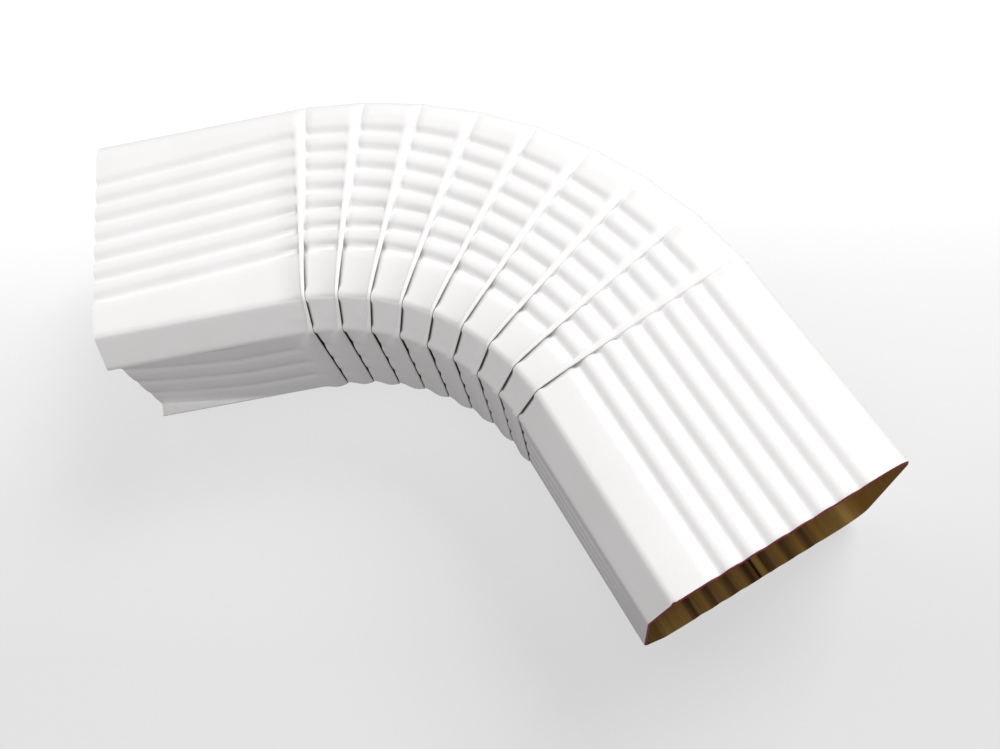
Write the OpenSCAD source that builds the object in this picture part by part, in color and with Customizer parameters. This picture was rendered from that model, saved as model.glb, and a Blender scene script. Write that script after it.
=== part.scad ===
// Pleated downspout elbow, folded from one strip of pre-painted sheet.
// The open strip is rolled into an eight-sided ribbed tube, closed by a flat lock seam, then crimped
// from three sides into pleats, each of which turns the tube by the same small angle.
// It lies on a wide face. X runs into the elbow from the centre of the outlet end's rim, the bend
// turns towards -Y, and Z is square to the wide faces.

/* [Section] */
// Outside width of the tube, from one narrow face to the other
section_w = 102; // [90:1:110]
// Outside depth of the tube, from one wide face to the other
section_d = 76; // [64:1:100]
// Thickness of the sheet
sheet_t = 0.6; // [0.4:0.05:0.8]
// How far an inner corner flat runs along the wide face
inner_corner_w = 9; // [6:0.5:14]
// How far an outer corner's curve runs along the wide face
outer_corner_w = 12; // [6:0.5:16]
// How far each corner runs along its narrow face
corner_d = 11; // [6:0.5:16]
// Half the width of the rounded fold beside a corner flat
fold_r = 1.2; // [0.5:0.1:2]

/* [Ribs] */
// Grooves pressed into each wide face
wide_grooves = 7; // [3:1:7]
// Distance between the grooves of a wide face
wide_pitch = 8.9; // [7:0.1:9.5]
// Grooves pressed into each narrow face
narrow_grooves = 3; // [1:1:3]
// Distance between the grooves of a narrow face
narrow_pitch = 13; // [8:0.5:15]
// Width of a groove at its top
groove_w = 5.2; // [3:0.1:6.5]
// Depth of a groove
groove_depth = 1; // [0.4:0.1:1.3]

/* [Lock seam] */
// Width of the flattened seam, which takes the place of the lower face's middle groove
seam_w = 6.4; // [4:0.2:8]
// How far the seam's folded layers stand into the bore
seam_jog = 1.1; // [0.6:0.1:1.4]
// Width of the seam's steep step, where the upper layer ends
seam_step = 0.4; // [0.2:0.1:1]
// Width of the seam's gentle side
seam_slope = 1.4; // [0.6:0.1:2]

/* [Bend] */
// Number of pleats
pleats = 9; // [3:1:12]
// Angle that each pleat turns the tube by
pleat_angle = 7.65; // [3:0.05:8.5]
// Distance between two pleats along the outer side, where the sheet isn't gathered
pleat_pitch = 25; // [23:0.5:40]
// Straight tube before the first pleat, along the outer side
outlet_len = 88; // [60:1:300]
// Straight tube after the last pleat, along the outer side
inlet_len = 92; // [40:1:300]

/* [Pleat] */
// Length over which the sheet rises to a pleat's lip
lip_band = 5; // [4.5:0.1:6]
// How far a lip stands above the tube
lip_rise = 0.7; // [0.3:0.1:1.2]
// How much of the groove depth is left at a lip
lip_groove = 0.35; // [0:0.05:1]
// Length over which the next stretch of tube comes up to its full size
foot_run = 1.5; // [0.8:0.1:2.5]
// How far the sheet dips under the lip at the outer end of a pleat
dip = 0.8; // [0.6:0.1:1.2]
// How much deeper it dips for each millimetre of tucked sheet
dip_rate = 0.19; // [0.15:0.01:0.3]
// Distance from the outer corner in which a pleat reaches its full height
pleat_ramp = 4; // [2:0.5:5]

/* [Outlet end] */
// How far the inner narrow face is pinched in at the rim, so that the end enters the next pipe
pinch_in = 4.5; // [0:0.5:8]
// Length over which the pinch fades out
pinch_len = 38; // [20:1:50]
// Width of the crease on each side of the pinched face
pinch_crease = 2.8; // [1.5:0.1:4]

/* [Hidden] */

wide_len = section_w - inner_corner_w - outer_corner_w;
narrow_len = section_d - 2 * corner_d;
flat_len = norm([inner_corner_w, corner_d]);
half_d = section_d / 2;

// A pleat gathers this much sheet for each millimetre that a point lies inside the outer corners
tuck_rate = tan(pleat_angle / 2);
// The layers of a pleat are pressed together over these shares of the tucked length
upper_grip = 0.52;
lower_grip = 0.37;
// The pinch has faded to this share halfway along its length
pinch_mid = 0.42;

// Stops along one face: [distance from the face's first edge, level above the face]
function groove(mid) = [[mid - groove_w / 2, 0], [mid, -groove_depth], [mid + groove_w / 2, 0]];
function seam(mid) = [
    [mid - seam_w / 2, 0],
    [mid - seam_w / 2 + seam_slope, -seam_jog],
    [mid + seam_w / 2 - seam_step, -seam_jog],
    [mid + seam_w / 2, 0]
];
function groove_mid(i, count, pitch, len) = len / 2 + (i - (count - 1) / 2) * pitch;
function wide_ribs(with_seam) = [
    for (i = [0:wide_grooves - 1])
        let (mid = groove_mid(i, wide_grooves, wide_pitch, wide_len))
            each with_seam && i == floor(wide_grooves / 2) ? seam(mid) : groove(mid)
];
narrow_ribs = [
    for (i = [0:narrow_grooves - 1]) each groove(groove_mid(i, narrow_grooves, narrow_pitch, narrow_len))
];

// Points of one face, from edge a to edge b: [w, z, level, share of the pinch]
function face(a, b, stops, pinch = 0) = [
    for (s = stops)
        let (p = a + (b - a) * s[0] / norm(b - a))
            [p.x, p.y, s[1], pinch]
];
function reversed(list) = [for (i = [len(list) - 1:-1:0]) list[i]];

// The section's outline, w from the outer narrow face inwards and z up
function wide_face(side, with_seam) = face(
    [outer_corner_w, side * half_d],
    [section_w - inner_corner_w, side * half_d],
    concat([[0, 0], [pleat_ramp, 0]], wide_ribs(with_seam), [[wide_len - fold_r, 0]])
);
function corner_flat(side) = face(
    [section_w - inner_corner_w, side * half_d],
    [section_w, side * (half_d - corner_d)],
    [[fold_r, 0], [flat_len - fold_r, 0]]
);
function inner_edge(side) = face(
    [section_w, side * (half_d - corner_d)],
    [section_w, 0],
    [[fold_r, 0]]
);
inner_narrow = face(
    [section_w, half_d - corner_d],
    [section_w, corner_d - half_d],
    concat([[fold_r + pinch_crease, 0]], narrow_ribs, [[narrow_len - fold_r - pinch_crease, 0]]),
    pinch = 1
);
outer_narrow = face([0, corner_d - half_d], [0, half_d - corner_d], concat([[0, 0]], narrow_ribs, [[narrow_len, 0]]));
function outer_corner(side) = [
    for (a = [30, 60]) [outer_corner_w * (1 - sin(a)), side * (half_d - corner_d * (1 - cos(a))), 0, 0]
];

pleated = concat(
    wide_face(1, false), corner_flat(1), inner_edge(1), inner_narrow,
    reversed(inner_edge(-1)), reversed(corner_flat(-1)), reversed(wide_face(-1, true))
);
plain = concat(outer_corner(-1), outer_narrow, reversed(outer_corner(1)));
outline = concat(pleated, plain);
outline_n = len(outline);
// Points between the two outer corners, which the pleats gather
gathered_n = len(pleated) - 2;
plain_n = outline_n - gathered_n;

// Unit of level at an outline point: square to its face, or along the mitre at a fold
function edge_normal(a, b) = let (d = [b.x - a.x, b.y - a.y]) [-d.y, d.x] / norm(d);
outward = [
    for (j = [0:outline_n - 1])
        let (
            here = outline[j],
            n1 = edge_normal(outline[(j + outline_n - 1) % outline_n], here),
            n2 = edge_normal(here, outline[(j + 1) % outline_n])
        )
            (n1 + n2) / (1 + n1 * n2)
];

// Plan of the bend: stretch i lies between crease i and crease i + 1, and creases 0 and pleats + 1
// are the two rims
function heading(i) = [cos(i * pleat_angle), -sin(i * pleat_angle)];
function stretch_len(i) = i == 0 ? outlet_len : i == pleats ? inlet_len : pleat_pitch;
function outer_point(i) = i == 0 ? [0, section_w / 2] : outer_point(i - 1) + stretch_len(i - 1) * heading(i - 1);
outer_points = [for (i = [0:pleats + 1]) outer_point(i)];
function is_rim(i) = i == 0 || i == pleats + 1;
function crease_turn(i) = i == 0 ? 0 : i > pleats ? pleats : i - 0.5;
function inward(i) =
    let (a = crease_turn(i) * pleat_angle)
        [-sin(a), -cos(a)] / (is_rim(i) ? 1 : cos(pleat_angle / 2));
inwards = [for (i = [0:pleats + 1]) inward(i)];

// Rings along the tube: [crease, stretch, bend of the pleat or -1, distance from the crease, pinch]
rings = concat(
    [[0, 0, -1, 0, 1], [0, 0, -1, pinch_len / 2, pinch_mid], [0, 0, -1, pinch_len, 0]],
    [for (i = [1:pleats], bend = [0:3]) [i, bend < 3 ? i - 1 : i, bend, 0, 0]],
    [[pleats + 1, pleats, -1, 0, 0]]
);
rings_n = len(rings);
// At the outer corners, and on the outer side, the four bends of a pleat meet in one plain crease
plain_ring = [for (r = [0:rings_n - 1]) r < 3 ? r : 2 + rings[r][0]];
plain_rings_n = plain_ring[rings_n - 1] + 1;

// The four bends of a pleat, each as [distance along the tube, level, share of the groove's depth],
// for the painted side (0) and the bare side (1) of the sheet: start of the lip, lip, hidden tuck, foot
function bend_out(bend, tuck, full) =
    let (
        depth = dip * full + dip_rate * tuck,
        back = -tuck * (1 - lower_grip)
    )
        bend == 0 ? [-lip_band, 0, 1]
        : bend == 1 ? [sheet_t / 2, lip_rise * full, lip_groove]
        : bend == 2 ? [back, -depth * (foot_run - back) / (foot_run + tuck + sheet_t / 2), 1]
        : [foot_run, 0, 1];
function bend_in(bend, tuck, full) =
    let (
        depth = dip * full + dip_rate * tuck,
        back = sheet_t / 2 + upper_grip * tuck,
        share = back / lip_band
    )
        bend == 0 ? [-lip_band, -sheet_t, 1]
        : bend == 1 ? [-back, -sheet_t + lip_rise * full * (1 - share), lip_groove + (1 - lip_groove) * share]
        : bend == 2 ? [-tuck - sheet_t / 2, -sheet_t - depth, 1]
        : [foot_run, -sheet_t, 1];

function vertex(side, r, j) =
    let (
        ring = rings[r],
        here = outline[j],
        inside = max(0, here[0] - outer_corner_w),
        tuck = inside * tuck_rate,
        full = min(1, inside / pleat_ramp),
        plain_bend = ring[2] < 0 || inside == 0,
        bend = plain_bend ? [ring[3], side * -sheet_t, 1]
            : side == 0 ? bend_out(ring[2], tuck, full)
            : bend_in(ring[2], tuck, full),
        level = bend[1] + here[2] * bend[2],
        w = here[0] + outward[j].x * level - pinch_in * here[3] * ring[4],
        plan = outer_points[ring[0]] + w * inwards[ring[0]] + bend[0] * heading(ring[1])
    )
        [plan.x, plan.y, here[1] + outward[j].y * level];

// Vertices of one side of the sheet: the gathered columns ring by ring, then the plain ones
first_ring = [for (c = [0:plain_rings_n - 1]) [for (r = [0:rings_n - 1]) if (plain_ring[r] == c) r][0]];
function side_points(side) = concat(
    [for (r = [0:rings_n - 1], j = [1:gathered_n]) vertex(side, r, j)],
    [for (r = first_ring, k = [0:plain_n - 1]) vertex(side, r, k == 0 ? 0 : k + gathered_n)]
);
side_n = gathered_n * rings_n + plain_n * plain_rings_n;
function index(side, r, column) =
    let (j = column % outline_n)
        side * side_n + (
            j >= 1 && j <= gathered_n
                ? r * gathered_n + j - 1
                : gathered_n * rings_n + plain_ring[r] * plain_n + (j == 0 ? 0 : j - gathered_n)
        );

// Two triangles over four corners, without those whose corners have met
function patch(a, b, c, d) = [
    for (t = [[a, b, c], [a, c, d]]) if (t[0] != t[1] && t[1] != t[2] && t[2] != t[0]) t
];
function sheet_faces() = [
    for (r = [0:rings_n - 2], j = [0:outline_n - 1])
        each concat(
            patch(index(0, r, j), index(0, r + 1, j), index(0, r + 1, j + 1), index(0, r, j + 1)),
            patch(index(1, r, j), index(1, r, j + 1), index(1, r + 1, j + 1), index(1, r + 1, j))
        )
];
function rim_faces() = [
    for (j = [0:outline_n - 1])
        each concat(
            patch(index(0, 0, j), index(0, 0, j + 1), index(1, 0, j + 1), index(1, 0, j)),
            patch(
                index(0, rings_n - 1, j), index(1, rings_n - 1, j),
                index(1, rings_n - 1, j + 1), index(0, rings_n - 1, j + 1)
            )
        )
];

module elbow_shell() {
    color("whitesmoke")
        polyhedron(points = concat(side_points(0), side_points(1)), faces = concat(sheet_faces(), rim_faces()));
}

elbow_shell();
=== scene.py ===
"""A white pleated downspout elbow on a pale studio floor.

The elbow is one sheet. Its painted side and its bare side are each built as rings of points round
the tube, and the two sides are joined at the rims. The sheet and the camera are given in millimetres,
and the floor and the lamps in metres.
"""

import math

import bpy
import numpy as np
from mathutils import Matrix, Vector


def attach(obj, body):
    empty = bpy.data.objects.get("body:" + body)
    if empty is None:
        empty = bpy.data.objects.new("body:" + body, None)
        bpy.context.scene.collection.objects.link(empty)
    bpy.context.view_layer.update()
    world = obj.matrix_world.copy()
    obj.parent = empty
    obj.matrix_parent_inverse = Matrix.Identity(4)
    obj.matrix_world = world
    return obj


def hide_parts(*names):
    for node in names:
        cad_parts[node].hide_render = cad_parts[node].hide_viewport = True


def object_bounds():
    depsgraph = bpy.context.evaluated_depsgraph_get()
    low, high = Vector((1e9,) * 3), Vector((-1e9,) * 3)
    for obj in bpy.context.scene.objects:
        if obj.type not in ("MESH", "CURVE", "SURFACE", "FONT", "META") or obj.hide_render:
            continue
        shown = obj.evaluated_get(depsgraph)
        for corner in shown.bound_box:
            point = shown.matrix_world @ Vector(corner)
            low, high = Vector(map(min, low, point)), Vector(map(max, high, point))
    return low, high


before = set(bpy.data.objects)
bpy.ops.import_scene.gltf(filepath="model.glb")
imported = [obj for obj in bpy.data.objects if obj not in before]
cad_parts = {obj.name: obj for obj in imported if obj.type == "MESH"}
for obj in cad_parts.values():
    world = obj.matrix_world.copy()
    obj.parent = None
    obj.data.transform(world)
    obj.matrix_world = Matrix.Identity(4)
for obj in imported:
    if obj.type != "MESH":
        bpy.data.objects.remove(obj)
cad_low, cad_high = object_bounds()

MM = 0.001

# Section of the tube
SECTION_W = 102.0
SECTION_D = 76.0
SHEET_T = 0.6
INNER_CORNER_W = 9.0
OUTER_CORNER_W = 12.0
CORNER_D = 11.0
FOLD_R = 3.1
FOLD_STEPS = 5
OUTER_CORNER_STEPS = 10
HALF_D = SECTION_D / 2
WIDE_LEN = SECTION_W - INNER_CORNER_W - OUTER_CORNER_W
NARROW_LEN = SECTION_D - 2 * CORNER_D

# Ribs. A groove's depth is given at the outer and at the inner end of a wide face
WIDE_GROOVES = 7
WIDE_PITCH = 8.9
GROOVE_W = 6.8
GROOVE_DEPTH = (1.15, 2.05)
GROOVE_SHIFT = -3.5
RIB_MIDDLE = WIDE_LEN / 2 + GROOVE_SHIFT
NARROW_GROOVES = 3
NARROW_PITCH = 13.0
NARROW_RIB_W = 7.5
NARROW_RIB_DEPTH = 0.55
NARROW_RIB_END = 30.0

# How far the ribs wander inwards, at distances along the flat sheet, and how that fades at the edges
DRIFT_AT = (0.0, 44.0, 88.0, 138.0, 188.0, 238.0, 288.0)
DRIFT = (2.0, -0.5, -3.5, -3.5, -2.5, -1.0, 0.0)
DRIFT_OUTER_FADE = 5.0
DRIFT_INNER_FADE = 12.0

# Sag of the plain margin beside the inner corners
MARGIN_W = 15.0
MARGIN_SAG = 1.3
MARGIN_CURVE = 1.6

# Lock seam, whose steep side lies on the middle of the ribs
SEAM_W = 5.4
SEAM_JOG = 1.1
SEAM_STEP = 0.4
SEAM_SLOPE = 1.4
SEAM_CLEAR = 0.4
SEAM_SLOT = 0.6
SEAM_SLOT_AT = SEAM_W / 2 - SEAM_STEP - 0.15
SEAM_MIDDLE = RIB_MIDDLE - SEAM_W / 2

# Rims
EDGE_BEVEL = 0.5
NOTCH_PULL = 0.5
NOTCH_R = 0.8

# Pinched outlet end
PINCH_IN = 5.2
PINCH_LEN = 50.0
PINCH_CURVE = 1.3
PINCH_CREASE = 1.3
PINCH_MARGIN = 0.9

# Bend
PLEATS = 9
PLEAT_ANGLE = math.radians(7.65)
PLEAT_PITCH = 25.0
OUTLET_LEN = 88.0
INLET_LEN = 92.0
TUCK_RATE = math.tan(PLEAT_ANGLE / 2)

# Pleats. A pair gives the values at the outer corner and at the inner narrow face
LIP_BAND = (6.2, 0.5)
LIP_RISE = (0.2, 0.65)
LIP_DROP = (0.75, 0.1)
LIP_R = (0.22, 0.5)
FOOT = (4.6, 2.0)
LIP_FRONT = 0.3
LIP_GROOVE = 0.05
GROOVE_FADE = 0.4
DIP_RATE = 0.17
PLEAT_START = 2.5
PLEAT_RAMP = 6.5

# Bulge of the inner stretches before a lip. The rise ends at a share of the band, plain or bulged
BULGE_BAND = 10.2
BULGE_RISE = 2.0
BULGE_DROP = 1.45
RISE_END = (0.45, 0.8)
BULGE_TOP = 4.0
BULGE_TOP_RUN = 22.0
BULGE_FOOT = 1.0
BULGE_FOOT_RUN = 6.0

# Gap under a lip, which is open on the flats and pressed shut at the folds
WIDE_GAP = 0.06
OPEN_GAP = 0.95
FOLD_GAP = 0.04
FOLD_FOOT = 0.7
FOLD_TIGHTENING = 0.25
WIDE_OPENING = 0.35
WIDE_OPENING_AT = 16.0
WIDE_OPENING_RUN = 12.0
FLAT_OPENING = 0.75
FLAT_OPENING_RISE = 0.45
FLAT_LEAN = 1.4

# Where a fold presses a pleat shut: a distance from the fold and the length over which it fades
WIDE_PRESS = (4.0, 3.0)
FLAT_PRESS = (1.2, 2.6)
NARROW_PRESS = (1.0, 2.5)

# Tucked lengths over which a plain step turns into a fold, and over which painted shade in the tuck shows
TUCK_START = 2.4
TUCK_FULL = 4.4
BARE_TUCK_RUN = 1.0
DARK_START = 3.6
DARK_FULL = 5.2

# Inside of a tuck: the painted side's reach into it, and the pocket between the first two layers
PAINTED_REACH = 0.63
PAINTED_START = 0.1
PAINTED_ARCH = 0.1
PAINTED_CLEAR = 0.06
POCKET_REACH = 0.5
POCKET_START = 0.35
POCKET_CLEAR = 0.12
POCKET_BACK = 0.05
POCKET_SLACK = 0.15
POCKET_DEPTH = 0.8
TUCK_FLATTENING = 0.9
BARE_EASE_AT = 1.0
BARE_EASE_RUN = 0.8

# Dents at a pleat's outer ends
DIMPLE_AT = 8.5
DIMPLE_DEPTH = 0.55
DIMPLE_R = 1.7
DIMPLE_LEN = 2.6
DIMPLE_BACK = 0.5
DIMPLE_RISE = 0.9

# Stations across the faces, as distances from a groove's middle, an end or a fold, or as shares
GROOVE_STOPS = (0.0, 0.7, 1.5, 2.4, GROOVE_W / 2)
OUTER_STOPS = (0, 1, 2, 3)
INNER_STOPS = (12, 10, 8, 6.5, 5, 4, 3.2, 2.6, 1.7)
FLAT_STOPS = (0.2, 0.32, 0.5, 0.68, 0.8)
NARROW_FOLD_STOPS = (1.2, 1.7, 2.3, 3.0, 3.7, 4.6)

# Rings of the two straights, as distances from their rims
OUTLET_RINGS = (0, 1.5, 3.5, 6, 9, 13, 18, 24, 31, 38, 48, 60, 70)
INLET_RINGS = (75, 60, 45, 30, 22, 15, 6, 2)

# Steps through a pleat, as shares of its runs or as angles round a nose. The painted side's foot
# also gives how much painted shade each step gets
BAND_STEPS = (0.0, 0.2, 0.4, 0.6, 0.8, 1.0)
LIP_ANGLES = (60, 25, -10, -45, -90)
PAINTED_FOOT = ((0.0, 0.75), (0.2, 0.5), (0.4, 0.25), (0.6, 0.08), (0.8, 0.0), (1.0, 0.0))
SOFT_SPACING = 1.7
SOFT_RUN = 0.45
# Painted shade under the nose of a lip
NOSE_SHADE = 0.6
BARE_START = -7.0
BARE_BAND_STEPS = (0.0, 0.6, 1.0)
TUCK_ANGLES = (80, 30, -30, -80)
BARE_RETURN = (0.4, 0.8)
BARE_FOOT = (0.3, 0.65, 1.0)

# Mesh
SHARP_ANGLE = math.radians(50)
FLAT_MAP_SCALE = 2

# Camera
CAMERA_AT = Vector((164.38, -224.89, 347.66))
CAMERA_FORWARD = Vector((-0.0434, 0.4033, -0.9141))
CAMERA_UP = Vector((0.1807, 0.9030, 0.3898))
PICTURE_W_PIXELS = 1000
FOCAL_PIXELS = 965.68
SENSOR_W = 36.0

# Floor: its tones and the lift that the camera sees, from the near to the far side of the object
FLOOR_HALF = 4.0
FLOOR_FAR_WAY = (0.149, 0.989, 0.0)
FLOOR_NEAR = -0.15
FLOOR_FAR = 0.09
FLOOR_TONES = ((0.0, 0.22), (1.0, 0.28))
FLOOR_LIFT = ((0.0, 0.55), (0.29, 0.592), (0.65, 0.66), (1.0, 0.80))
GLOSSY_LIFT = 0.15

# Light
SKY_COLOUR = (1.0, 0.975, 0.975)
SKY_STRENGTH = 0.36
LAMP_AIM = (0.15, -0.05, 0.0)
KEY_AT = (1.90, 1.50, 2.35)
KEY_SIZE = 1.7
KEY_POWER = 91.0
KEY_COLOUR = (1.0, 1.0, 0.995)
FILL_AT = (-0.71, -1.43, 1.74)
FILL_SIZE = 1.4
FILL_POWER = 12.6
FILL_COLOUR = (1.0, 0.972, 0.975)


def smooth(x):
    """0 up to x = 0, 1 from x = 1, with a smooth rise between."""
    x = np.clip(x, 0.0, 1.0)
    return x * x * (3 - 2 * x)


def mix(pair, share):
    """Value between the two of a pair."""
    return pair[0] + (pair[1] - pair[0]) * share


# Camera

def add_camera():
    data = bpy.data.cameras.new("camera")
    data.sensor_fit = "HORIZONTAL"
    data.sensor_width = SENSOR_W
    data.lens = FOCAL_PIXELS / PICTURE_W_PIXELS * SENSOR_W
    data.clip_start = 0.01
    camera = bpy.data.objects.new("camera", data)
    back = -CAMERA_FORWARD.normalized()
    right = CAMERA_UP.cross(back).normalized()
    up = back.cross(right)
    turn = Matrix((right, up, back)).transposed().to_4x4()
    camera.matrix_world = Matrix.Translation(CAMERA_AT * MM) @ turn
    bpy.context.scene.collection.objects.link(camera)
    bpy.context.scene.camera = camera


# Outline of the section

class Outline:
    """Stations round the tube: place, outward direction, and what the sheet does there."""

    NAMES = ("w", "z", "out_w", "out_z", "rib", "bare_rib", "fold", "pinch", "gap", "drift", "bulge")

    def __init__(self):
        self.rows = []

    def add(self, place, out, rib=0.0, bare_rib=None, fold=0.0, pinch=0.0, gap=0.0, drift=0.0, bulge=0.0):
        bare = rib if bare_rib is None else bare_rib
        self.rows.append((*place, *out, rib, bare, fold, pinch, gap, drift, bulge))

    def arrays(self):
        table = np.array(self.rows)
        return {name: table[:, k] for k, name in enumerate(self.NAMES)}


def groove_mids(count, pitch, middle):
    return [middle + (i - (count - 1) / 2) * pitch for i in range(count)]


def wide_mids():
    return groove_mids(WIDE_GROOVES, WIDE_PITCH, RIB_MIDDLE)


def narrow_mids():
    return groove_mids(NARROW_GROOVES, NARROW_PITCH, NARROW_LEN / 2)


def wide_level(distance, mids):
    """Level of a wide face: rounded grooves that are deeper towards the inside of the bend."""
    level = 0.0
    for mid in mids:
        x = abs(distance - mid)
        if x < GROOVE_W / 2:
            level -= mix(GROOVE_DEPTH, distance / WIDE_LEN) * math.cos(math.pi * x / GROOVE_W) ** 2
    return level


def narrow_level(distance):
    """Level of a narrow face, with its faint shallow ribs."""
    level = 0.0
    for mid in narrow_mids():
        if abs(distance - mid) < NARROW_RIB_W / 2:
            level -= NARROW_RIB_DEPTH * math.cos(math.pi * (distance - mid) / NARROW_RIB_W) ** 2
    return level


def seam_level(offset):
    """Level of the lock seam at a distance from its middle: gentle on one side, steep on the other."""
    gentle = smooth((offset + SEAM_W / 2) / SEAM_SLOPE)
    steep = smooth((SEAM_W / 2 - offset) / SEAM_STEP)
    return -SEAM_JOG * float(min(gentle, steep))


def seam_sides(distance, rib):
    """Levels of the painted and the bare side on the face with the lock seam."""
    offset = distance - SEAM_MIDDLE
    if abs(offset) > SEAM_W / 2 + 0.5:
        return rib, rib
    painted = min(rib, seam_level(offset))
    slot = SEAM_SLOT if abs(offset - SEAM_SLOT_AT) < 0.1 else 0.0
    return painted, painted + slot


def wide_stops():
    """Distances of the stations along a wide face, from its outer corner."""
    mids = wide_mids()
    stops = {mids[0] - WIDE_PITCH / 2, *OUTER_STOPS}
    stops |= {WIDE_LEN - distance for distance in INNER_STOPS}
    for mid in mids:
        stops |= {mid + side * step for side in (-1, 1) for step in GROOVE_STOPS}
    return sorted(stops)


def seam_stops():
    """The wide face's stations, with those at the lock seam taken over by the seam's own."""
    half = SEAM_W / 2
    kept = [s for s in wide_stops() if abs(s - SEAM_MIDDLE) > half + SEAM_CLEAR]
    gentle = [-half + SEAM_SLOPE * k / 4 for k in range(5)]
    level = [-0.2, 1.0]
    steep = [half - SEAM_STEP * k / 3 for k in range(4)]
    slot = [SEAM_SLOT_AT, half - SEAM_STEP - 0.45, half + 0.3]
    return sorted(kept + [SEAM_MIDDLE + offset for offset in gentle + level + steep + slot])


def add_wide_face(outline, side, with_seam):
    """Stations of a wide face. On the face with the lock seam, the middle groove is left out."""
    mids = wide_mids()
    stops = wide_stops()
    if with_seam:
        mids = [m for m in mids if abs(m - RIB_MIDDLE) > 1]
        stops = seam_stops()
    for distance in stops if side > 0 else reversed(stops):
        rib = wide_level(distance, mids)
        rib, bare = seam_sides(distance, rib) if with_seam else (rib, rib)
        press_at, press_run = WIDE_PRESS
        fold = float(smooth((distance - (WIDE_LEN - press_at)) / press_run))
        opening = smooth((distance - (WIDE_LEN - WIDE_OPENING_AT)) / WIDE_OPENING_RUN)
        drift = smooth(distance / DRIFT_OUTER_FADE) * smooth((WIDE_LEN - distance) / DRIFT_INNER_FADE)
        place = (OUTER_CORNER_W + distance, side * HALF_D)
        gap = WIDE_OPENING * float(opening)
        outline.add(place, (0, side), rib, bare, fold, gap=gap, drift=float(drift))


def bulge_at(z):
    """How far a pleat's stretch bulges: not above the upper flat, most below the middle."""
    below_top = smooth((HALF_D - BULGE_TOP - z) / BULGE_TOP_RUN)
    above_foot = smooth((HALF_D - BULGE_FOOT + z) / BULGE_FOOT_RUN)
    return float(below_top * above_foot)


def add_fillet(outline, corner, before, after):
    """Rounded fold at a corner between two directions of travel."""
    turn = math.acos(max(-1, min(1, before[0] * after[0] + before[1] * after[1])))
    tangent = FOLD_R * math.tan(turn / 2)
    start = (corner[0] - before[0] * tangent, corner[1] - before[1] * tangent)
    out0 = (-before[1], before[0])
    centre = (start[0] - out0[0] * FOLD_R, start[1] - out0[1] * FOLD_R)
    for k in range(FOLD_STEPS + 1):
        a = -turn * k / FOLD_STEPS
        out = (out0[0] * math.cos(a) - out0[1] * math.sin(a), out0[0] * math.sin(a) + out0[1] * math.cos(a))
        place = (centre[0] + out[0] * FOLD_R, centre[1] + out[1] * FOLD_R)
        outline.add(place, out, fold=1.0, bulge=bulge_at(place[1]))


def unit(a, b):
    """Direction from a to b."""
    length = math.hypot(b[0] - a[0], b[1] - a[1])
    return ((b[0] - a[0]) / length, (b[1] - a[1]) / length)


def add_corner_flat(outline, side):
    """Fold, flat and fold between a wide face and the inner narrow face."""
    at_wide = (SECTION_W - INNER_CORNER_W, side * HALF_D)
    at_narrow = (SECTION_W, side * (HALF_D - CORNER_D))
    along_wide = (side, 0)
    down = (0, -1)
    if side > 0:
        start, end, before, after = at_wide, at_narrow, along_wide, down
    else:
        start, end, before, after = at_narrow, at_wide, down, along_wide
    way = unit(start, end)
    out = (-way[1], way[0])
    length = math.hypot(end[0] - start[0], end[1] - start[1])
    press_at, press_run = FLAT_PRESS
    add_fillet(outline, start, before, way)
    for share in FLAT_STOPS:
        to_narrow = share if side > 0 else 1 - share
        near = min(share, 1 - share) * length + FLAT_LEAN * to_narrow
        place = (start[0] + (end[0] - start[0]) * share, start[1] + (end[1] - start[1]) * share)
        fold = float(1 - smooth((near - press_at) / press_run))
        gap = FLAT_OPENING + FLAT_OPENING_RISE * to_narrow
        outline.add(place, out, fold=fold, gap=gap, bulge=bulge_at(place[1]))
    add_fillet(outline, end, way, after)


def narrow_stops(near_fold=()):
    """Distances of the stations along a narrow face, with any that it needs near its folds."""
    stops = list(near_fold) + [NARROW_LEN - s for s in near_fold]
    for mid in narrow_mids():
        stops += [mid + NARROW_RIB_W * k / 6 for k in range(-3, 4)]
    return sorted(stops)


def add_inner_narrow(outline):
    press_at, press_run = NARROW_PRESS
    for distance in narrow_stops(NARROW_FOLD_STOPS):
        near = min(distance, NARROW_LEN - distance)
        outline.add(
            (SECTION_W, HALF_D - CORNER_D - distance),
            (1, 0),
            narrow_level(distance),
            fold=float(1 - smooth((near - press_at) / press_run)),
            pinch=float(smooth((near - PINCH_MARGIN) / PINCH_CREASE)),
            gap=1.0,
            bulge=bulge_at(HALF_D - CORNER_D - distance),
        )


def add_outer_corner(outline, side):
    """Quarter of an ellipse between a wide face and the outer narrow face."""
    turns = [k * math.pi / 2 / OUTER_CORNER_STEPS for k in range(1, OUTER_CORNER_STEPS + 1)]
    for a in turns if side < 0 else reversed(turns):
        place = (OUTER_CORNER_W * (1 - math.sin(a)), side * (HALF_D - CORNER_D * (1 - math.cos(a))))
        out = Vector((-math.sin(a) / OUTER_CORNER_W, side * math.cos(a) / CORNER_D)).normalized()
        outline.add(place, out)


def add_outer_narrow(outline):
    for distance in narrow_stops():
        outline.add((0, distance - (HALF_D - CORNER_D)), (-1, 0), narrow_level(distance))


def make_outline():
    """The section's stations in order, from the outer end of the upper wide face."""
    outline = Outline()
    add_wide_face(outline, 1, False)
    add_corner_flat(outline, 1)
    add_inner_narrow(outline)
    add_corner_flat(outline, -1)
    add_wide_face(outline, -1, True)
    add_outer_corner(outline, -1)
    add_outer_narrow(outline)
    add_outer_corner(outline, 1)
    return outline.arrays()


# Path of the sheet through a pleat

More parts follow.
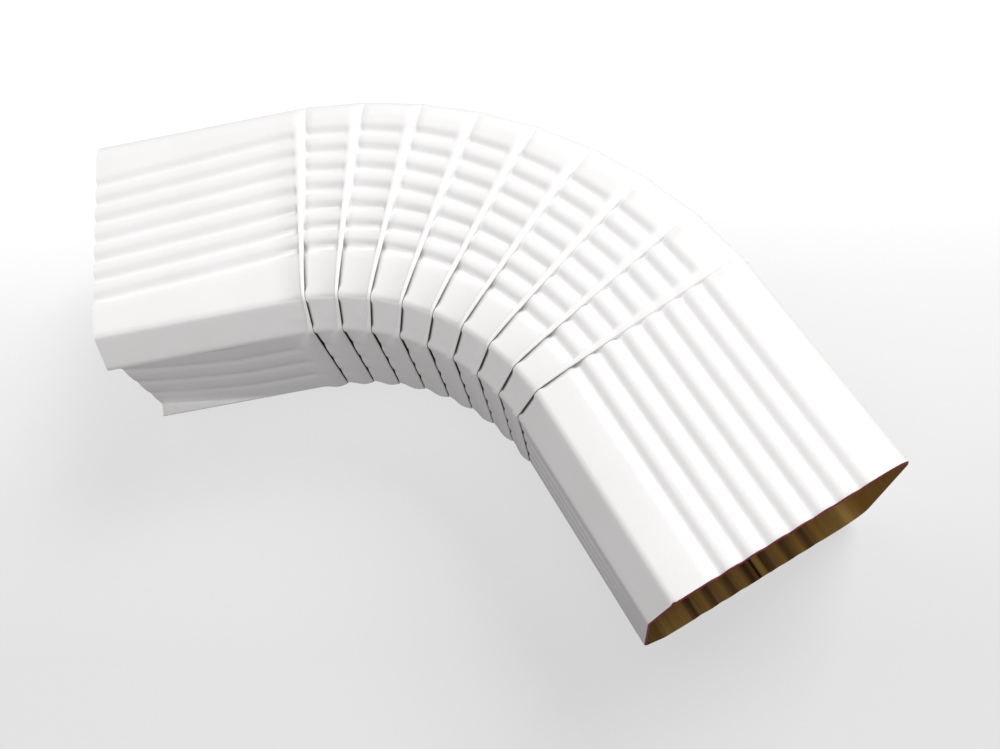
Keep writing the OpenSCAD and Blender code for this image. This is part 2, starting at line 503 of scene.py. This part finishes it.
def pleat_values(o):
    """What a pleat measures at each station."""
    inside = np.maximum(0.0, o["w"] - OUTER_CORNER_W)
    share = inside / (SECTION_W - OUTER_CORNER_W)
    full = smooth((o["w"] - PLEAT_START) / PLEAT_RAMP)
    fold = o["fold"]
    tuck = inside * TUCK_RATE
    v = {"tuck": tuck, "full": full}
    v["deep"] = smooth((tuck - TUCK_START) / (TUCK_FULL - TUCK_START))
    v["bare_deep"] = smooth((tuck - TUCK_FULL) / BARE_TUCK_RUN)
    v["dark"] = smooth((tuck - DARK_START) / (DARK_FULL - DARK_START))
    v["band"] = mix((mix(LIP_BAND, share), BULGE_BAND), o["bulge"])
    v["rise"] = mix((mix(LIP_RISE, share), BULGE_RISE), o["bulge"])
    v["rise_end"] = mix(RISE_END, o["bulge"])
    v["drop"] = mix((mix(LIP_DROP, share), BULGE_DROP), o["bulge"])
    v["end"] = v["rise"] - v["drop"]
    v["r"] = mix(LIP_R, share) * (1 - FOLD_TIGHTENING * fold)
    v["middle"] = LIP_FRONT - v["r"]
    v["foot"] = mix(FOOT, share) * (1 - fold) + FOLD_FOOT * fold
    gap = (WIDE_GAP + OPEN_GAP * o["gap"]) * (1 - fold) + FOLD_GAP * fold
    v["dip"] = 2 * v["r"] - v["end"] + gap
    return v


def band_level(v, q):
    """Level and rib share along the band before a lip, from q = 0 to its edge at q = 1."""
    q = np.clip(q, 0.0, 1.0)
    level = v["rise"] * smooth(q / v["rise_end"]) - v["drop"] * q * q
    return level, 1 - (1 - LIP_GROOVE) * smooth(q / GROOVE_FADE)


def under_level(v, t):
    """Level of the sheet's third layer, which runs under the lip and comes up as the next stretch."""
    rise = np.clip((v["foot"] - t) / (v["foot"] - LIP_FRONT), 0.0, 1.0) ** 2
    return -v["dip"] * rise - DIP_RATE * np.maximum(0.0, LIP_FRONT - t)


def painted_fold(v):
    """Steps of the painted side through a full fold: distance, level, rib share, painted shade, downstream.
    """
    steps = []
    for q in BAND_STEPS:
        level, share = band_level(v, q)
        steps.append((v["middle"] - v["band"] * (1 - q), level, share, 0.0, 0))
    for angle in LIP_ANGLES:
        a = math.radians(angle)
        t = v["middle"] + v["r"] * math.cos(a)
        level = v["end"] - v["r"] * (1 - math.sin(a))
        steps.append((t, level, LIP_GROOVE, max(0.0, -math.sin(a)) * NOSE_SHADE, 0))
    back = -PAINTED_REACH * v["tuck"] - PAINTED_START
    valley = under_level(v, back)
    bottom = v["end"] - 2 * v["r"]
    arch = (bottom + valley) / 2 + PAINTED_ARCH
    steps.append(((v["middle"] + back) / 2, arch, 0.5 * (LIP_GROOVE + 1), 0.9, 0))
    steps.append((back, valley + PAINTED_CLEAR, 1.0, 1.0, 0))
    steps.append((back / 2, under_level(v, back / 2), 1.0, 1.0, 0))
    steps.append((0.0, under_level(v, 0.0), 1.0, 0.9, 0))
    for q, tuck_shade in PAINTED_FOOT:
        t = LIP_FRONT + (v["foot"] - LIP_FRONT) * q
        steps.append((t, under_level(v, t), 1.0, tuck_shade, 1))
    return steps


def painted_path(v):
    """Steps of the painted side through a pleat: a fold where enough is tucked in, or a plain step."""
    steps = painted_fold(v)
    band_end = len(BAND_STEPS) - 1
    after_band = len(steps) - 1 - band_end
    deep = v["deep"]
    full = v["full"]
    out = []
    for k, (t, level, share, tuck_shade, downstream) in enumerate(steps):
        if k > band_end:
            q = ((k - band_end) / after_band) ** SOFT_SPACING
            soft_t = v["middle"] + (v["foot"] - v["middle"]) * q
            down = smooth((soft_t - v["middle"]) / (v["r"] + SOFT_RUN))
            soft = v["end"] * (1 - down) + under_level(v, np.maximum(soft_t, LIP_FRONT)) * down
            t = deep * t + (1 - deep) * soft_t
            level = deep * level + (1 - deep) * soft
            share = deep * share + (1 - deep) * (LIP_GROOVE + (1 - LIP_GROOVE) * down)
            # Painted shade in the tuck, only where enough is tucked in
            tuck_shade = v["dark"] * tuck_shade
        out.append((t, full * level, full * share + (1 - full), tuck_shade, downstream))
    return out


def bare_ceiling(v, t):
    """Level and rib share of the bare side under the band before a lip."""
    level, share = band_level(v, 1 - (v["middle"] - t) / v["band"])
    return level - SHEET_T, share


def bare_fold(v):
    """Steps of the bare side through a full fold, with the pocket between its first two layers."""
    pocket = -(POCKET_START + POCKET_REACH * v["tuck"])
    nose = -v["tuck"]
    steps = []
    for q in BARE_BAND_STEPS:
        t = BARE_START + (pocket - BARE_START) * q
        level, share = bare_ceiling(v, t)
        steps.append((t, level, share, 0))
    floor = np.minimum(under_level(v, pocket) + SHEET_T, steps[-1][1] - POCKET_CLEAR)
    deeper = np.minimum(under_level(v, nose * POCKET_DEPTH) + SHEET_T, floor)
    steps.append((pocket - POCKET_BACK, floor, 1.0, 0))
    steps.append(((pocket + nose) / 2 - POCKET_SLACK, deeper, 1.0, 0))
    core = under_level(v, nose)
    for angle in TUCK_ANGLES:
        a = math.radians(angle)
        t = nose - SHEET_T * TUCK_FLATTENING * math.cos(a)
        steps.append((t, core + SHEET_T * math.sin(a), 1.0, 0))
    for q in BARE_RETURN:
        t = nose * (1 - q) + LIP_FRONT * q
        steps.append((t, under_level(v, t) - SHEET_T, 1.0, 0))
    for q in BARE_FOOT:
        t = LIP_FRONT + (v["foot"] - LIP_FRONT) * q
        steps.append((t, under_level(v, t) - SHEET_T, 1.0, 1))
    return steps


def bare_path(v):
    """Steps of the bare side through a pleat: a fold where enough is tucked in, or a plain step."""
    steps = bare_fold(v)
    deep = v["bare_deep"]
    full = v["full"]
    out = []
    for k, (fold_t, fold_level, fold_share, downstream) in enumerate(steps):
        t = BARE_START + (v["foot"] - BARE_START) * (k / (len(steps) - 1))
        level, share = bare_ceiling(v, np.minimum(t, v["middle"]))
        after = smooth((t + v["tuck"] + BARE_EASE_AT) / BARE_EASE_RUN)
        plain = level * (1 - after) + (under_level(v, t) - SHEET_T) * after
        plain = -SHEET_T + full * (plain + SHEET_T)
        plain_share = share * (1 - after) + after
        plain_share = 1 + full * (plain_share - 1)
        out.append((
            deep * fold_t + (1 - deep) * t,
            deep * fold_level + (1 - deep) * plain,
            deep * fold_share + (1 - deep) * plain_share,
            0.0,
            downstream,
        ))
    return out


# Plan of the bend

def heading(i):
    """Direction along the tube after i pleats."""
    return np.array((math.cos(i * PLEAT_ANGLE), -math.sin(i * PLEAT_ANGLE)))


def crease_points():
    """Where each crease meets the tube's outer side line. The first and last are the rims."""
    lengths = [OUTLET_LEN] + [PLEAT_PITCH] * (PLEATS - 1) + [INLET_LEN]
    points = [np.array((0.0, SECTION_W / 2))]
    for i, length in enumerate(lengths):
        points.append(points[-1] + length * heading(i))
    return points


def inward(i):
    """Step inwards along a rim or a crease for each millimetre of the tube's width."""
    if i == 0 or i == PLEATS + 1:
        a = 0.0 if i == 0 else PLEATS * PLEAT_ANGLE
        return np.array((-math.sin(a), -math.cos(a)))
    a = (i - 0.5) * PLEAT_ANGLE
    return np.array((-math.sin(a), -math.cos(a))) / math.cos(PLEAT_ANGLE / 2)


CREASES = crease_points()
FLAT_START = [0.0, OUTLET_LEN] + [OUTLET_LEN + PLEAT_PITCH * k for k in range(1, PLEATS)]
FLAT_START.append(FLAT_START[-1] + INLET_LEN)


def pinch_share(x):
    return max(0.0, 1 - x / PINCH_LEN) ** PINCH_CURVE


def ring(o, crease, stretch, t, level, share, rib, tuck_shade, pinch=0.0):
    """One ring of points: an array of x, y, z, painted shade and distance along the flat sheet."""
    lift = level + rib * share
    along = FLAT_START[crease] + t + 0 * lift
    w = o["w"] + o["out_w"] * lift - PINCH_IN * o["pinch"] * pinch
    w = w + o["drift"] * np.interp(along, DRIFT_AT, DRIFT)
    z = o["z"] + o["out_z"] * lift
    margin = np.clip((w - (SECTION_W - INNER_CORNER_W - MARGIN_W)) / MARGIN_W, 0.0, 1.0)
    sag = MARGIN_SAG * margin ** MARGIN_CURVE
    z = z - sag * np.clip(z / (HALF_D - CORNER_D), -1.0, 1.0)
    plan = CREASES[crease] + np.outer(w, inward(crease)) + np.outer(t + 0 * w, heading(stretch))
    return np.column_stack((plan, z, tuck_shade + 0 * w, along))


def add_dimples(o, points, crease):
    """Small dents that start at a pleat's end at the outer corners and run out downstream."""
    way = heading(crease)
    centre = CREASES[crease] + DIMPLE_AT * inward(crease)
    reach = (points[:, :2] - centre) @ way
    across = (points[:, :2] - centre) @ np.array((way[1], -way[0]))
    along = smooth((reach + DIMPLE_BACK) / DIMPLE_RISE) * np.exp(-np.maximum(0.0, reach) / DIMPLE_LEN)
    dent = DIMPLE_DEPTH * along * np.exp(-((across / DIMPLE_R) ** 2))
    points[:, 2] -= np.sign(o["z"]) * dent * (np.abs(o["z"]) > HALF_D - CORNER_D)


def side_rings(o, bare):
    """All rings of one side of the sheet, from the outlet's rim to the inlet's."""
    v = pleat_values(o)
    base = -SHEET_T if bare else 0.0
    rib = o["bare_rib"] if bare else o["rib"]
    path = bare_path(v) if bare else painted_path(v)
    rings = []
    for x in OUTLET_RINGS:
        rings.append(ring(o, 0, 0, float(x), base, 1.0, rib, 0.0, pinch_share(x)))
    for crease in range(1, PLEATS + 1):
        for t, level, share, tuck_shade, downstream in path:
            stretch = crease if downstream else crease - 1
            points = ring(o, crease, stretch, t, level, share, rib, tuck_shade)
            add_dimples(o, points, crease)
            rings.append(points)
    narrow = np.abs(o["out_z"]) < 0.01
    rim = 0.0 if bare else EDGE_BEVEL
    for back in (*INLET_RINGS, rim):
        share = 1 - narrow * smooth(1 - back / NARROW_RIB_END)
        rings.append(ring(o, PLEATS + 1, PLEATS, -float(back), base, share, rib, 0.0))
    notch_rim(o, rings[-1])
    return rings


def notch_rim(o, points):
    """Small torn notch in the inlet's rim at the upper fold."""
    at = (SECTION_W - INNER_CORNER_W, HALF_D)
    near = np.hypot(o["w"] - at[0], o["z"] - at[1])
    pull = NOTCH_PULL * np.exp(-((near / NOTCH_R) ** 2))
    points[:, :2] -= np.outer(pull, heading(PLEATS))


# Mesh

def join_rings(n, painted, bare):
    """Quads between neighbouring rings of n points and across both rims, and each one's material slot.

    The rings of the painted side come first. Slot 0 is the paint, 1 the back coat, 2 the cut edge.
    """
    j = np.arange(n)
    k = (j + 1) % n
    quads, slots = [], []

    def strip(a, b, slot):
        quads.append(np.column_stack((a + j, b + j, b + k, a + k)))
        slots.append(np.full(n, slot))

    first_bare = painted * n
    last_bare = (painted + bare - 1) * n
    for r in range(painted - 1):
        strip(r * n, (r + 1) * n, 0)
    for r in range(bare - 1):
        strip(first_bare + (r + 1) * n, first_bare + r * n, 1)
    strip(first_bare, 0, 2)
    strip((painted - 1) * n, last_bare, 2)
    return np.vstack(quads), np.concatenate(slots)


def painted_bore_shade(o):
    """How dark the bare side is painted at each station: painted shade on one side of each rib, and painted
    shade in the lock seam's slot.
    """
    offset = o["w"] - OUTER_CORNER_W - RIB_MIDDLE
    in_field = (np.abs(offset / WIDE_PITCH) < WIDE_GROOVES / 2) & (np.abs(o["out_z"]) > 0.99)
    rib_shade = np.where(in_field, 0.5 + 0.5 * np.sin(2 * math.pi * offset / WIDE_PITCH), 0.2)
    in_slot = (o["out_z"] < -0.99) & (np.abs(offset + SEAM_STEP + 0.2) < 0.6)
    return np.where(in_slot, 1.0, rib_shade)


def add_shades(mesh, values):
    """Attribute for the materials: painted shade deep in a tuck on the paint, painted shade on one side of
    each rib and in the seam's slot on the back coat.
    """
    tuck = mesh.attributes.new("tuck", "FLOAT", "POINT")
    tuck.data.foreach_set("value", values.astype(np.float32))


def add_flat_map(mesh, o, quads, along):
    """UV map that lays the sheet out flat."""
    n = len(o["w"])
    steps = np.hypot(np.diff(o["w"]), np.diff(o["z"]))
    around = np.concatenate(([0.0], np.cumsum(steps)))
    closing = around[-1] + math.hypot(o["w"][0] - o["w"][-1], o["z"][0] - o["z"][-1])
    flat = np.column_stack((np.tile(around, len(along) // n), along))[quads]
    seam = (quads % n == n - 1).any(axis=1)[:, None] & (quads % n == 0)
    flat[..., 0] = np.where(seam, closing, flat[..., 0])
    uv = mesh.uv_layers.new(name="flat_sheet")
    uv.data.foreach_set("uv", (flat.reshape(-1, 2) * MM * FLAT_MAP_SCALE).ravel().astype(np.float32))


def make_elbow():
    o = make_outline()
    n = len(o["w"])
    painted = side_rings(o, False)
    bare = side_rings(o, True)
    data = np.vstack(painted + bare)
    # Painted shade on the bare side: one side of each rib and the seam's slot
    data[len(painted) * n:, 3] = np.tile(painted_bore_shade(o), len(bare))
    quads, slots = join_rings(n, len(painted), len(bare))
    mesh = bpy.data.meshes.new("elbow")
    mesh.from_pydata((data[:, :3] * MM).tolist(), [], quads.tolist())
    mesh.polygons.foreach_set("material_index", slots.astype(np.int32))
    mesh.polygons.foreach_set("use_smooth", np.ones(len(quads), bool))
    add_shades(mesh, data[:, 3])
    add_flat_map(mesh, o, quads, data[:, 4])
    mesh.validate()
    mesh.set_sharp_from_angle(angle=SHARP_ANGLE)
    elbow = bpy.data.objects.new("elbow_shell_sheet", mesh)
    bpy.context.scene.collection.objects.link(elbow)
    return elbow


# Materials

def new_material(name):
    material = bpy.data.materials.new(name)
    material.use_nodes = True
    nodes = material.node_tree.nodes
    return material, nodes, material.node_tree.links, nodes["Principled BSDF"]


def noise(nodes, links, source, scale, detail=2.0):
    node = nodes.new("ShaderNodeTexNoise")
    node.inputs["Scale"].default_value = scale
    node.inputs["Detail"].default_value = detail
    links.new(source, node.inputs["Vector"])
    return node.outputs["Fac"]


def opaque(tone):
    """Four channels from a colour or a grey level."""
    return (*tone, 1) if isinstance(tone, tuple) else (tone, tone, tone, 1)


def ramp(nodes, links, source, stops):
    """Colour ramp. Each stop is a position with a colour or a grey level."""
    node = nodes.new("ShaderNodeValToRGB")
    links.new(source, node.inputs["Fac"])
    elements = node.color_ramp.elements
    for element, (at, tone) in zip(elements, (stops[0], stops[-1])):
        element.position = at
        element.color = opaque(tone)
    for at, tone in stops[1:-1]:
        elements.new(at).color = opaque(tone)
    return node.outputs["Color"]


def blend_colour(nodes, links, share, a, b):
    """Mix of two colours, each a tuple or a socket."""
    node = nodes.new("ShaderNodeMix")
    node.data_type = "RGBA"
    for name, value in (("A", a), ("B", b)):
        entry = next(s for s in node.inputs if s.name == name and s.type == "RGBA")
        if isinstance(value, tuple):
            entry.default_value = opaque(value)
        else:
            links.new(value, entry)
    links.new(share, next(s for s in node.inputs if s.name == "Factor" and s.type == "VALUE"))
    return next(s for s in node.outputs if s.type == "RGBA")


def shade_attribute(nodes):
    node = nodes.new("ShaderNodeAttribute")
    node.attribute_name = "tuck"
    return node.outputs["Fac"]


def bump(nodes, links, height, distance, shader):
    node = nodes.new("ShaderNodeBump")
    node.inputs["Distance"].default_value = distance
    node.inputs["Strength"].default_value = 1.0
    links.new(height, node.inputs["Height"])
    links.new(node.outputs["Normal"], shader.inputs["Normal"])


def enamel():
    """White baked enamel: faint mottling, orange peel, tiny specks, and painted shade deep in the tucks."""
    material, nodes, links, shader = new_material("white_enamel")
    place = nodes.new("ShaderNodeTexCoord").outputs["Object"]
    mottle = noise(nodes, links, place, 35.0, 3.0)
    tone = ramp(nodes, links, mottle, [(0.3, (0.905, 0.905, 0.898)), (0.7, (0.935, 0.935, 0.932))])
    cells = nodes.new("ShaderNodeTexVoronoi")
    cells.inputs["Scale"].default_value = 90.0
    links.new(place, cells.inputs["Vector"])
    specks = ramp(nodes, links, cells.outputs["Distance"], [(0.014, 0.4), (0.024, 0.0)])
    speckled = blend_colour(nodes, links, specks, tone, (0.66, 0.65, 0.62))
    # Painted shade: the tuck attribute darkens the paint deep in the tucks
    colour = blend_colour(nodes, links, shade_attribute(nodes), speckled, (0.09, 0.07, 0.06))
    links.new(colour, shader.inputs["Base Color"])
    links.new(ramp(nodes, links, mottle, [(0.3, 0.42), (0.7, 0.34)]), shader.inputs["Roughness"])
    peel = noise(nodes, links, place, 900.0, 1.0)
    bump(nodes, links, peel, 0.00002, shader)
    return material


def back_coat():
    """Bronze-coloured back coat on the bare side, with streaks along the coil, and painted shade on one
    side of each rib and in the seam's slot.
    """
    material, nodes, links, shader = new_material("bronze_back_coat")
    coords = nodes.new("ShaderNodeTexCoord")
    stretch = nodes.new("ShaderNodeMapping")
    stretch.inputs["Scale"].default_value = (60.0, 3.0, 1.0)
    links.new(coords.outputs["UV"], stretch.inputs["Vector"])
    streaks = noise(nodes, links, stretch.outputs["Vector"], 4.0, 4.0)
    tone = ramp(
        nodes, links, streaks,
        [(0.3, (0.46, 0.28, 0.075)), (0.5, (0.54, 0.33, 0.092)), (0.7, (0.62, 0.39, 0.115))],
    )
    # Painted shade from the tuck attribute: one side of each rib and the seam's slot
    colour = blend_colour(nodes, links, shade_attribute(nodes), tone, (0.09, 0.042, 0.010))
    links.new(colour, shader.inputs["Base Color"])
    shader.inputs["Metallic"].default_value = 0.6
    links.new(ramp(nodes, links, streaks, [(0.3, 0.38), (0.7, 0.48)]), shader.inputs["Roughness"])
    bump(nodes, links, streaks, 0.00003, shader)
    return material


def cut_edge():
    """Sheared edge of the sheet, with the primer's dull red."""
    material, nodes, links, shader = new_material("cut_edge")
    place = nodes.new("ShaderNodeTexCoord").outputs["Object"]
    grain = noise(nodes, links, place, 1500.0)
    tone = ramp(nodes, links, grain, [(0.35, (0.16, 0.010, 0.030)), (0.65, (0.24, 0.022, 0.048))])
    links.new(tone, shader.inputs["Base Color"])
    shader.inputs["Roughness"].default_value = 0.5
    bump(nodes, links, grain, 0.00003, shader)
    return material


def floor_material():
    """Pale floor that the camera sees white at the far side and light grey at the near side."""
    material, nodes, links, shader = new_material("studio_floor")
    place = nodes.new("ShaderNodeTexCoord").outputs["Object"]
    depth = nodes.new("ShaderNodeVectorMath")
    depth.operation = "DOT_PRODUCT"
    depth.inputs[1].default_value = FLOOR_FAR_WAY
    links.new(place, depth.inputs[0])
    span = nodes.new("ShaderNodeMapRange")
    span.inputs["From Min"].default_value = FLOOR_NEAR
    span.inputs["From Max"].default_value = FLOOR_FAR
    links.new(depth.outputs["Value"], span.inputs["Value"])
    tone = ramp(nodes, links, span.outputs["Result"], FLOOR_TONES)
    lift = ramp(nodes, links, span.outputs["Result"], FLOOR_LIFT)
    seen = nodes.new("ShaderNodeLightPath")
    rays = nodes.new("ShaderNodeMath")
    rays.operation = "MULTIPLY_ADD"
    rays.inputs[1].default_value = GLOSSY_LIFT
    links.new(seen.outputs["Is Glossy Ray"], rays.inputs[0])
    links.new(seen.outputs["Is Camera Ray"], rays.inputs[2])
    links.new(lift, shader.inputs["Emission Color"])
    links.new(rays.outputs["Value"], shader.inputs["Emission Strength"])
    links.new(tone, shader.inputs["Base Color"])
    shader.inputs["Roughness"].default_value = 0.9
    shader.inputs["Specular IOR Level"].default_value = 0.1
    return material


# Stage

def add_floor(height):
    mesh = bpy.data.meshes.new("floor")
    s = FLOOR_HALF
    mesh.from_pydata([(-s, -s, 0), (s, -s, 0), (s, s, 0), (-s, s, 0)], [], [(0, 1, 2, 3)])
    floor = bpy.data.objects.new("floor", mesh)
    floor.location.z = height
    mesh.materials.append(floor_material())
    bpy.context.scene.collection.objects.link(floor)


def add_area(name, at, size, power, colour):
    """Square lamp that faces the elbow."""
    data = bpy.data.lights.new(name, "AREA")
    data.shape = "SQUARE"
    data.size = size
    data.energy = power
    data.color = colour
    lamp = bpy.data.objects.new(name, data)
    lamp.location = at
    lamp.rotation_euler = (Vector(LAMP_AIM) - Vector(at)).to_track_quat("-Z", "Y").to_euler()
    bpy.context.scene.collection.objects.link(lamp)


def add_lights():
    world = bpy.data.worlds.new("studio")
    world.use_nodes = True
    background = world.node_tree.nodes["Background"]
    background.inputs["Color"].default_value = opaque(SKY_COLOUR)
    background.inputs["Strength"].default_value = SKY_STRENGTH
    bpy.context.scene.world = world
    add_area("key", KEY_AT, KEY_SIZE, KEY_POWER, KEY_COLOUR)
    add_area("fill", FILL_AT, FILL_SIZE, FILL_POWER, FILL_COLOUR)


add_camera()
elbow = make_elbow()
for make in (enamel, back_coat, cut_edge):
    elbow.data.materials.append(make())
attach(elbow, "root")
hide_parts("elbow_shell")
add_floor(cad_low.z)
add_lights()
bpy.context.scene.view_settings.view_transform = "Standard"
